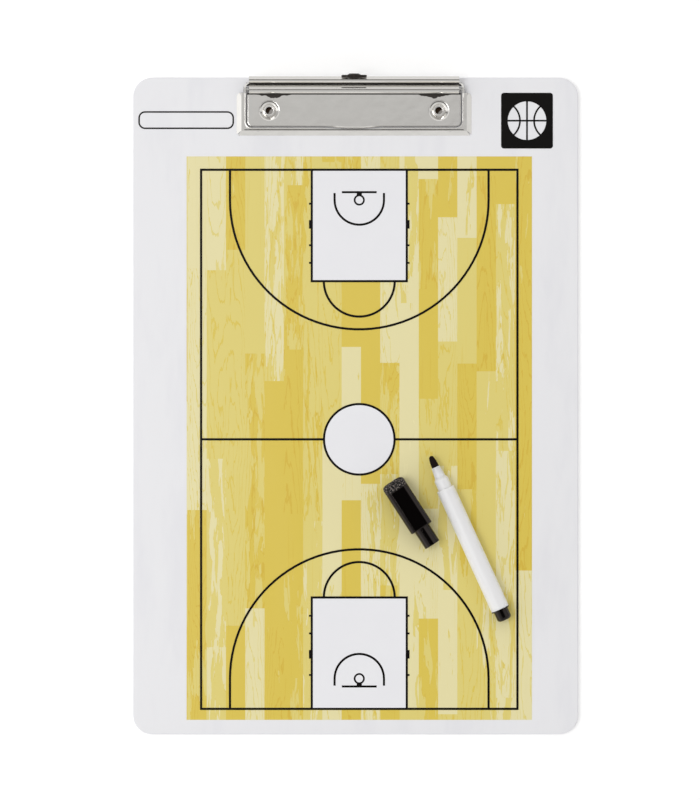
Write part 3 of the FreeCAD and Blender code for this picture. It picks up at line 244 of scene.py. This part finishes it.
woodLook = {
    "dark": screen(219, 195, 84),
    "mid": screen(223, 207, 120),
    "light": screen(230, 221, 170),
    "line": screen(213, 181, 68),
    "plankWidth": 10.386,   # mm
    "plankEdge": -80.3,     # mm, one edge between two planks
    "plankLength": (58.0, 80.0),  # mm, shortest and how much more at most
}


def woodPrint():
    it = Finish("woodPrint", {"IOR": 1.5})
    spot = it.spot()
    x, y, z = it.split(spot)
    across = (x - woodLook["plankEdge"]) / woodLook["plankWidth"]
    column = math.floor(across)
    shortest, more = woodLook["plankLength"]
    along = (y + it.dice(column, 1.0) * 190.0) / (shortest + it.dice(column, 2.0) * more)
    row = math.floor(along)
    plank = column * 7.0 + row * 31.0
    tone = it.ramp(it.dice(plank, 3.0),  # 0 dark, a half mid, 1 light
                   [(0.0, (0, 0, 0, 1)), (0.34, (0.5, 0.5, 0.5, 1)), (0.66, (1, 1, 1, 1))], "CONSTANT")
    tone = it.node("ShaderNodeSeparateColor", {}, {0: tone})

    # flames: long ragged patches one tone away, with a darker edge
    drift = it.cloud(it.join(x * 0.11, y * 0.02, plank), 1.0, 2.0)
    flame = it.cloud(it.join(x * 0.26 + drift * 1.8, y * 0.022, plank * 1.7), 1.0, 4.0, 0.64)
    level = 0.45 + it.dice(plank, 4.0) * 0.34
    inside = flame > level
    rim = abs(flame - level) < 0.007
    pale = tone + (it.dice(plank, 5.0) - 0.5) * 0.2 > 0.5
    turn = 1.0 - 2.0 * pale  # light planks go darker, dark ones lighter

    # nested arches of thin lines, on about half of the planks
    off = across - column - 0.15 - it.dice(plank, 7.0) * 0.7
    lean = (it.dice(plank, 8.0) > 0.5) * 0.036 - 0.018
    arch = off * off * 2.6 + y * lean + drift * 1.9 + flame * 1.1
    arch = arch * (1.5 + it.dice(plank, 9.0) * 1.3)
    arch = arch - math.floor(arch)
    lines = (arch < 0.10 + 0.08 * drift) * (it.dice(plank, 10.0) > 0.42)
    hair = it.cloud(it.join(x * 1.5, y * 0.016, plank * 0.7), 1.0, 2.0) > 0.65 + it.dice(plank, 6.0) * 0.1
    value = tone + inside * turn * 0.5 - rim * 0.4 - lines * 0.42 - hair * 0.2
    value = (value + 0.5) / 1.6
    colour = it.ramp(value, [(0.0, woodLook["line"]), (0.31, woodLook["dark"]),
                             (0.62, woodLook["mid"]), (0.94, woodLook["light"])])
    smears = it.cloud(it.stretch(spot, 0.05, 0.012, 0.05), 1.0, 4.0, 0.6)
    ripple = it.cloud(spot, 0.12, 2.0)
    return it.give(colour=colour, rough=0.16 + 0.16 * smears, normal=it.bump(ripple * 0.05))


inkLook = {
    "white": (screen(235, 235, 238), screen(231, 231, 235)),
    "black": (screen(4, 3, 3), screen(12, 9, 8)),
}


def printInk(name, first, second):
    it = Finish(name, {"IOR": 1.5, "Specular IOR Level": 0.15})
    spot = it.spot()
    patches = it.cloud(spot, 0.05, 3.0)
    ripple = it.cloud(spot, 0.12, 2.0)
    dots = it.cloud(spot, 4.0, 2.0)
    return it.give(colour=it.blend(patches, first, second), rough=0.18 + 0.14 * dots,
                   normal=it.bump(ripple * 0.05 + dots * 0.002))


wear(panelPlastic(), "board_panel")
wear(filmPlastic(), "writing_film")
wear(woodPrint(), "court_field_print")
wear(printInk("whiteInk", *inkLook["white"]), "court_white_print")
wear(printInk("blackInk", *inkLook["black"]), "court_line_print", "label_frame_print", "corner_badge_print")
print("board finished")


# clip

nickelLook = {
    "bright": (0.82, 0.805, 0.78, 1.0),
    "dull": (0.76, 0.745, 0.715, 1.0),
    "creaseShade": (0.02, 0.015, 0.011, 1.0),
    "rivets": (-46.55, 44.75),  # mm, X of the rivets
    "rivetY": 159.0,            # mm
    "dishRim": 4.85,            # mm, from the rivet's middle
    "wing": (0.945, 11.5, 2.3),  # share of the rivet's X, then half width and depth in mm
    "plateTop": 5.7,            # mm, Z just over the plate
    "rollFront": 167.95,        # mm, Y where the roll meets the plate
    "wallFoot": 148.65,         # mm, Y where the jaw's front wall stands on its land
    "landTop": 5.6,             # mm, Z just over that land
    "middle": -0.9,             # mm, X of the clip's middle
    "wallHalf": 59.0,           # mm
}


def nickelPlate(name, shadeMasks):
    it = Finish(name, {})
    spot = it.spot()
    x, y, z = it.split(spot)
    patches = it.cloud(spot, 0.08, 3.0)
    brushed = it.cloud(it.stretch(spot, 0.4, 6.0, 6.0), 1.0, 3.0, 0.6)  # polishing lines along the clip
    wave = it.cloud(spot, 0.16, 1.0)
    colour = it.blend(patches, nickelLook["bright"], nickelLook["dull"])
    unshaded = 1.0
    # painted shade and painted dark reflection: each mask darkens the colour and makes the surface matte and
    # not metal
    for mask in shadeMasks(it, x, y, z):
        colour = it.blend(mask, colour, nickelLook["creaseShade"])
        unshaded = unshaded * (1.0 - mask)
    return it.give(colour=colour, rough=0.07 + 0.09 * brushed + 0.6 * (1.0 - unshaded), metal=unshaded,
                   normal=it.bump(wave * 0.06 + brushed * 0.0012))


def platePaintedShade(it, x, y, z):
    front = nickelLook["rollFront"]
    low = it.ease(6.9 - z, 0.0, 0.8)
    yield it.ease(y - front, -0.62, -0.3) * (y < front + 0.5) * low  # painted shade along the roll's foot
    for rivet in nickelLook["rivets"]:  # painted dark reflection in wings where the plate is drawn into the roll beside each rivet
        shift, half, deep = nickelLook["wing"]
        wing = (x - rivet * shift) / half
        depth = deep * (1.0 - abs(wing)) * (0.1 + 1.9 * it.cloud(it.join(x * 0.32, 0.0, 0.0), 1.0, 1.0))
        yield it.ease(y - front + depth, -0.1, 0.25) * (z < nickelLook["plateTop"]) * (depth > 0.0)
        back = y - nickelLook["rivetY"]
        away = ((x - rivet) * (x - rivet) + back * back) ** 0.5
        rim = it.ease(abs(away - nickelLook["dishRim"]), 0.4, 0.15)
        yield 0.85 * rim * it.ease(back, 0.6, 2.6)  # painted shade on the far side of the dish's rim


def jawPaintedShade(it, x, y, z):
    line = it.ease(abs(y - nickelLook["wallFoot"]), 0.34, 0.12)
    along = abs(x - nickelLook["middle"]) < nickelLook["wallHalf"]
    yield line * (z < nickelLook["landTop"]) * along  # painted shade at the foot of the front wall


rivetLook = {"hollow": 2.05, "paintedShade": (0.035, 0.022, 0.014, 1.0), "unshaded": (0.42, 0.40, 0.38, 1.0)}


def rivetNickel(name, centre):  # bright flare, painted shade inside
    it = Finish(name, {"Metallic": 1.0})
    spot = it.spot()
    x, y, z = it.split(spot)
    right, back = x - centre, y - nickelLook["rivetY"]
    away = (right * right + back * back) ** 0.5
    patches = it.cloud(spot, 0.6, 3.0)
    colour = it.blend(patches, nickelLook["bright"], nickelLook["dull"])
    # painted shade inside the rivet's hollow
    hollow = it.ease(rivetLook["hollow"] + 0.25 * (patches - 0.5) - away, 0.0, 0.12)
    litNearRight = it.ease(right - back + 4.0 * (patches - 0.5), 0.2, 0.9)  # painted light on the near right of the hollow
    inside = it.blend(litNearRight, rivetLook["paintedShade"], rivetLook["unshaded"])
    colour = it.blend(hollow, colour, inside)
    return it.give(colour=colour, rough=0.10 + 0.12 * patches, normal=it.bump(patches * 0.02))


steelLook = {
    "pin": ((0.55, 0.55, 0.54, 1.0), (0.36, 0.35, 0.34, 1.0)),
    "spring": ((0.09, 0.08, 0.07, 1.0), (0.03, 0.025, 0.02, 1.0)),  # oiled dark
}


def drawnSteel(name, bright, dull):
    it = Finish(name, {"Metallic": 1.0})
    spot = it.spot()
    patches = it.cloud(spot, 0.9, 4.0, 0.6)
    colour = it.blend(it.ease(patches, 0.35, 0.7), bright, dull)
    return it.give(colour=colour, rough=0.22 + 0.2 * patches, normal=it.bump(patches * 0.01))


eyeletLook = {"brown": (0.012, 0.008, 0.006, 1.0), "worn": (0.040, 0.026, 0.015, 1.0)}


def eyeletPlastic():
    it = Finish("eyeletPlastic", {"IOR": 1.5, "Specular IOR Level": 0.25})
    spot = it.spot()
    patches = it.cloud(spot, 0.7, 4.0, 0.6)
    colour = it.blend(it.ease(patches, 0.5, 0.75), eyeletLook["brown"], eyeletLook["worn"])
    return it.give(colour=colour, rough=0.25 + 0.2 * patches, normal=it.bump(patches * 0.02))


wear(nickelPlate("plateNickel", platePaintedShade), "clip_base")
wear(nickelPlate("jawNickel", jawPaintedShade), "clip_jaw")
wear(rivetNickel("leftRivetNickel", nickelLook["rivets"][0]), "rivet_left")
wear(rivetNickel("rightRivetNickel", nickelLook["rivets"][1]), "rivet_right")
wear(drawnSteel("pinSteel", *steelLook["pin"]), "hinge_pin")
wear(drawnSteel("springSteel", *steelLook["spring"]), "torsion_spring_left", "torsion_spring_right")
wear(eyeletPlastic(), "hanging_eyelet")
print("clip finished")


def twistingSpring(side):  # a copy of the spring's mesh in place of the hidden CAD spring
    node = "torsion_spring_" + side
    spring = bpy.data.objects.new("twisting_spring_" + side, nodes[node].data.copy())
    bpy.context.scene.collection.objects.link(spring)
    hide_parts(node)
    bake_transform(spring)


twistingSpring("left")
twistingSpring("right")


# pen and cap

penLook = {
    "white": (0.93, 0.93, 0.945, 1.0),
    "shade": (0.92, 0.92, 0.935, 1.0),
    "black": (0.001, 0.001, 0.0012, 1.0),
    "dust": (0.0025, 0.0025, 0.0025, 1.0),
    "nib": (0.007, 0.0035, 0.003, 1.0),
    "nibWorn": (0.020, 0.011, 0.010, 1.0),
    "ink": (0.030, 0.030, 0.036, 1.0),
}


def whitePlastic():
    it = Finish("whitePlastic", {"IOR": 1.48, "Subsurface Weight": 0.5, "Subsurface Scale": 0.004,
                                 "Subsurface Radius": (1.0, 1.0, 1.0)})
    spot = it.spot()
    patches = it.cloud(spot, 0.09, 3.0)
    peel = it.cloud(spot, 0.9, 2.0)
    return it.give(colour=it.blend(patches, penLook["white"], penLook["shade"]), rough=0.24 + 0.12 * peel,
                   normal=it.bump(peel * 0.008))


def blackPlastic():
    it = Finish("blackPlastic", {"IOR": 1.5, "Specular IOR Level": 0.42,
                                 "Specular Tint": (1.0, 0.86, 0.80, 1.0)})
    spot = it.spot()
    dust = it.cloud(spot, 1.6, 5.0, 0.7)
    peel = it.cloud(spot, 0.5, 2.0)
    colour = it.blend(it.ease(dust, 0.58, 0.8), penLook["black"], penLook["dust"])
    return it.give(colour=colour, rough=0.04 + 0.05 * dust, normal=it.bump(peel * 0.006))


def inkFibre(name, first, second):
    it = Finish(name, {"IOR": 1.4, "Specular IOR Level": 0.12})
    spot = it.spot()
    fibres = it.cloud(it.stretch(spot, 4.0, 4.0, 4.0), 1.0, 4.0, 0.7)
    return it.give(colour=it.blend(it.ease(fibres, 0.4, 0.75), first, second), rough=0.6 + 0.3 * fibres,
                   normal=it.bump(fibres * 0.06))


wear(whitePlastic(), "pen_barrel", "pen_nozzle")
wear(blackPlastic(), "pen_end_plug", "cap_shell")
wear(inkFibre("nibFibre", penLook["nib"], penLook["nibWorn"]), "pen_nib")
wear(inkFibre("inkRod", penLook["ink"], penLook["nib"]), "pen_ink_reservoir")
print("pen and cap finished")


# felt eraser

feltPad = {
    "socketToEnd": 36.6,  # mm, from the middle of the cap's socket to the felt's outer end
    "thick": 4.9,
    "side": 12.3,
    "corner": 2.8,
    "endRound": 2.0,
    "crown": 0.25,        # how far the middle of the end stands out
    "lumps": 0.3,
    "around": 96,         # points in a ring
    "endRings": (0.12, 0.25, 0.38, 0.5, 0.62, 0.74),
    "endEdge": 0.8,       # where the round edge begins, on the same scale
    "bendSteps": 8,
    "fibres": 2600,
    "fibreLength": (0.5, 1.5),
    "fibreWidth": 0.07,
    "fibreLift": (0.00004, 0.00022),  # m over the pad, at the ends and more in the middle
    "seed": 11,
    "grey": (0.36, 0.31, 0.285, 1.0),
    "dark": (0.004, 0.0036, 0.0034, 1.0),
}


def feltFinish():
    it = Finish("greyFelt", {"IOR": 1.4, "Sheen Weight": 0.1, "Sheen Roughness": 0.6})
    spot = it.spot()
    speck = it.cloud(spot, 1.3, 2.0, 0.5)
    wool = it.cloud(spot, 5.0, 4.0, 0.7)
    mask = it.ease(speck * 0.6 + wool * 0.4, 0.515, 0.575)
    return it.give(colour=it.blend(mask, feltPad["dark"], feltPad["grey"]), rough=0.85 + 0.1 * wool,
                   normal=it.bump(wool * 0.1))


def roundedSquare(side, corner, share):  # a point on the outline and its outward direction, share from 0 to 1
    straight = side - 2 * corner
    arc = corner * math.pi / 2
    quarter = straight + arc
    run = share * 4 * quarter
    turn = int(run // quarter) % 4
    run = run % quarter
    half = side / 2
    if run < straight:
        point, outward = Vector((half, run - straight / 2)), Vector((1.0, 0.0))
    else:
        angle = (run - straight) / corner
        outward = Vector((math.cos(angle), math.sin(angle)))
        point = Vector((half - corner, half - corner)) + corner * outward
    spin = [(1, 0, 0, 1), (0, -1, 1, 0), (-1, 0, 0, -1), (0, 1, -1, 0)][turn]
    return (Vector((spin[0] * point.x + spin[1] * point.y, spin[2] * point.x + spin[3] * point.y)),
            Vector((spin[0] * outward.x + spin[1] * outward.y, spin[2] * outward.x + spin[3] * outward.y)))


def feltEraser():
    pad = feltPad
    socket = next(mount for mount in frame["record"]["mounts"] if mount["name"] == "cap_socket")
    inward = Vector(socket["axis"])
    up = Vector((0.0, 0.0, 1.0))
    side = up.cross(inward)
    end = Vector(socket["pos_m"]) * 1000 - inward * pad["socketToEnd"]

    def place(depth, sideways, upward):
        return (end + inward * depth + side * sideways + up * upward) / 1000

    # rings from the middle of the outer end, over its round edge and back to the cap
    flat = pad["side"] / 2 - pad["endRound"]
    profile = [(pad["crown"] * (share ** 2), flat * share / pad["endEdge"] - pad["side"] / 2)
               for share in pad["endRings"]]
    steps = pad["bendSteps"]
    for step in range(steps + 1):
        angle = math.pi / 2 * step / steps
        profile.append((pad["crown"] + pad["endRound"] * (1 - math.cos(angle)),
                        -pad["endRound"] * (1 - math.sin(angle))))
    straightFrom = pad["crown"] + pad["endRound"]
    for step in range(1, steps + 1):
        profile.append((straightFrom + (pad["thick"] - straightFrom) * step / steps, 0.0))

    mesh = bmesh.new()
    middle = mesh.verts.new(place(0.0, 0.0, 0.0))
    loops = []
    for depth, inset in profile:
        loop = []
        reach = (pad["side"] / 2 + inset) / (pad["side"] / 2)
        for index in range(pad["around"]):
            point, outward = roundedSquare(pad["side"], pad["corner"], index / pad["around"])
            point = point * reach if inset < -pad["endRound"] else point + outward * inset
            loop.append(mesh.verts.new(place(depth, point.x, point.y)))
        loops.append(loop)
    for index in range(pad["around"]):
        after = (index + 1) % pad["around"]
        mesh.faces.new((middle, loops[0][after], loops[0][index]))
        for inner, outer in zip(loops, loops[1:]):
            mesh.faces.new((inner[index], inner[after], outer[after], outer[index]))
    mesh.faces.new(loops[-1])
    mesh.normal_update()
    bmesh.ops.recalc_face_normals(mesh, faces=mesh.faces)
    mesh.normal_update()
    last = set(loops[-1])
    for vert in mesh.verts:  # uneven, as pressed wool is
        if vert not in last:
            lump = noise.fractal(vert.co * 900, 1.0, 2.0, 3)
            vert.co += vert.normal * (lump * pad["lumps"] - pad["lumps"] * 0.5) / 1000
    mesh.normal_update()

    # loose fibres lying on the pad
    dice = random.Random(pad["seed"])
    faces = [face for face in mesh.faces if len(face.verts) < 5]
    weights = [face.calc_area() for face in faces]
    roots = [(face.calc_center_median(), face.normal.copy(), [vert.co.copy() for vert in face.verts])
             for face in dice.choices(faces, weights, k=pad["fibres"])]
    for centre, normal, corners in roots:
        first, second = dice.random(), dice.random()
        start = centre.lerp(corners[0].lerp(corners[1], first), second)
        heading = normal.cross(Vector((dice.gauss(0, 1), dice.gauss(0, 1), dice.gauss(0, 1)))).normalized()
        bend = normal.cross(heading) * dice.uniform(-0.5, 0.5)
        length = dice.uniform(*pad["fibreLength"]) / 1000
        width = pad["fibreWidth"] / 1000
        low, arched = pad["fibreLift"]
        cross = normal.cross(heading)
        hoops = []
        for step in range(4):
            part = step / 3
            middlePoint = (start + heading * length * (part - 0.5) + bend * length * part * part
                           + normal * (low + arched * math.sin(math.pi * part) * dice.uniform(0.4, 1.0)))
            thin = width * (0.35 if step in (0, 3) else 1.0)
            hoops.append([mesh.verts.new(middlePoint + thin * (cross * math.cos(a) + normal * math.sin(a)))
                          for a in (0.5, 2.6, 4.7)])
        for near, far in zip(hoops, hoops[1:]):
            for index in range(3):
                mesh.faces.new((near[index], near[(index + 1) % 3], far[(index + 1) % 3], far[index]))
        mesh.faces.new(reversed(hoops[0]))
        mesh.faces.new(hoops[-1])
    bmesh.ops.recalc_face_normals(mesh, faces=mesh.faces)
    for face in mesh.faces:
        face.smooth = True
    data = bpy.data.meshes.new("feltEraser")
    mesh.to_mesh(data)
    mesh.free()
    felt = bpy.data.objects.new("feltEraser", data)
    bpy.context.scene.collection.objects.link(felt)
    felt.data.materials.append(feltFinish())
    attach(felt, "cap")
    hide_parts("cap_eraser_felt")


feltEraser()
print("felt eraser made")


# floor, light and camera

floorLook = {
    "half": 4.0,  # m
    "below": 0.0003,
    "white": (0.9, 0.9, 0.9, 1.0),
    "shade": (0.88, 0.88, 0.88, 1.0),
    "glow": 0.22,
}


def paleFloor():
    it = Finish("paleFloor", {"Emission Color": (1.0, 1.0, 1.0, 1.0), "Emission Strength": floorLook["glow"]})
    spot = it.spot()
    paper = it.cloud(spot, 0.6, 3.0)
    colour = it.blend(paper, floorLook["white"], floorLook["shade"])
    material = it.give(colour=colour, rough=0.7 + 0.2 * paper)
    mesh = bmesh.new()
    bmesh.ops.create_grid(mesh, x_segments=8, y_segments=8, size=floorLook["half"])
    data = bpy.data.meshes.new("paleFloor")
    mesh.to_mesh(data)
    mesh.free()
    floor = bpy.data.objects.new("paleFloor", data)
    floor.location.z = -floorLook["below"]
    bpy.context.scene.collection.objects.link(floor)
    data.materials.append(material)


studio = {
    # brightness of each wall by height, 1 overhead
    "left": [(0.0, 1.4), (0.2, 1.3), (0.31, 1.14), (0.47, 0.86), (0.75, 0.62), (0.93, 0.62)],
    "right": [(0.0, 1.25), (0.1, 0.75), (0.2, 0.62), (0.25, 0.86),
              (0.31, 0.86), (0.47, 0.73), (0.75, 0.6), (0.93, 0.62)],
    "front": [(0.0, 1.2), (0.18, 1.05), (0.27, 0.86), (0.38, 0.6), (0.5, 0.56), (0.8, 0.54), (0.93, 0.6)],
    "behind": [(0.0, 0.72), (0.12, 0.5), (0.24, 0.5), (0.34, 0.86), (0.6, 0.94), (0.97, 0.94)],
    "tint": (1.0, 0.995, 0.985),
    "hatch": (0.035, 0.025, 0.018, 1.0),  # dark slanted gap overhead that the camera looks through
    "hatchSlope": 0.5,
    "hatchBack": 0.11,
    "hatchHalf": (0.15, 0.45),
    "lampPlace": (-0.9, -0.1, 2.1),
    "lampSize": 0.9,
    "lampPower": 13.0,
}


def studioLight():
    scene = bpy.context.scene
    world = bpy.data.worlds.new("studio")
    world.use_nodes = True
    scene.world = world
    it = NodeSheet(world.node_tree)
    x, y, z = it.split(it.node("ShaderNodeTexCoord", {}, {}, "Generated"))

    def wall(side):
        return it.ramp(z, [(height, (*[level * part for part in studio["tint"]], 1.0))
                           for height, level in studio[side]])

    colour = it.blend(it.ease(x, -0.55, 0.45), wall("left"), wall("right"))
    colour = it.blend(it.ease(-1.0 * y, 0.2, 0.5) * it.ease(0.6 - abs(x), 0.0, 0.4), colour, wall("front"))
    colour = it.blend(it.ease(y, 0.10, 0.22), colour, wall("behind"))
    halfDeep, halfWide = studio["hatchHalf"]
    away = abs(y - studio["hatchSlope"] * x + studio["hatchBack"])
    hatch = it.ease(halfDeep - away, 0.0, 0.05) * it.ease(halfWide - abs(x), 0.0, 0.15) * (z > 0.0)
    colour = it.blend(hatch, colour, studio["hatch"])
    it.feed(world.node_tree.nodes["Background"].inputs["Color"], colour)
    lamp = bpy.data.lights.new("softLamp", "AREA")
    lamp.shape = "SQUARE"
    lamp.size = studio["lampSize"]
    lamp.energy = studio["lampPower"]
    lampObject = bpy.data.objects.new("softLamp", lamp)
    lampObject.location = studio["lampPlace"]
    lampObject.rotation_euler = (-Vector(studio["lampPlace"])).to_track_quat("-Z", "Y").to_euler()
    scene.collection.objects.link(lampObject)
    scene.view_settings.view_transform = "Standard"


shot = {
    "pixel": 0.0005387,         # metres on the writing face
    "boardCentre": (355.75, 406.0),
    "image": (700, 800),
    "height": 1.7,
    "faceHeight": 0.0033,
    "sensor": 24.0,
}


def camera():
    data = bpy.data.cameras.new("camera")
    data.sensor_fit = "VERTICAL"
    data.sensor_height = shot["sensor"]
    wide, tall = shot["image"]
    data.lens = shot["sensor"] * (shot["height"] - shot["faceHeight"]) / (tall * shot["pixel"])
    data.clip_end = 20.0
    eye = bpy.data.objects.new("camera", data)
    centreX, centreY = shot["boardCentre"]
    right, forward = wide / 2 - centreX, centreY - tall / 2
    eye.location = (right * shot["pixel"], forward * shot["pixel"], shot["height"])
    bpy.context.scene.collection.objects.link(eye)
    bpy.context.scene.camera = eye


paleFloor()
studioLight()
camera()
print("floor, light and camera set")
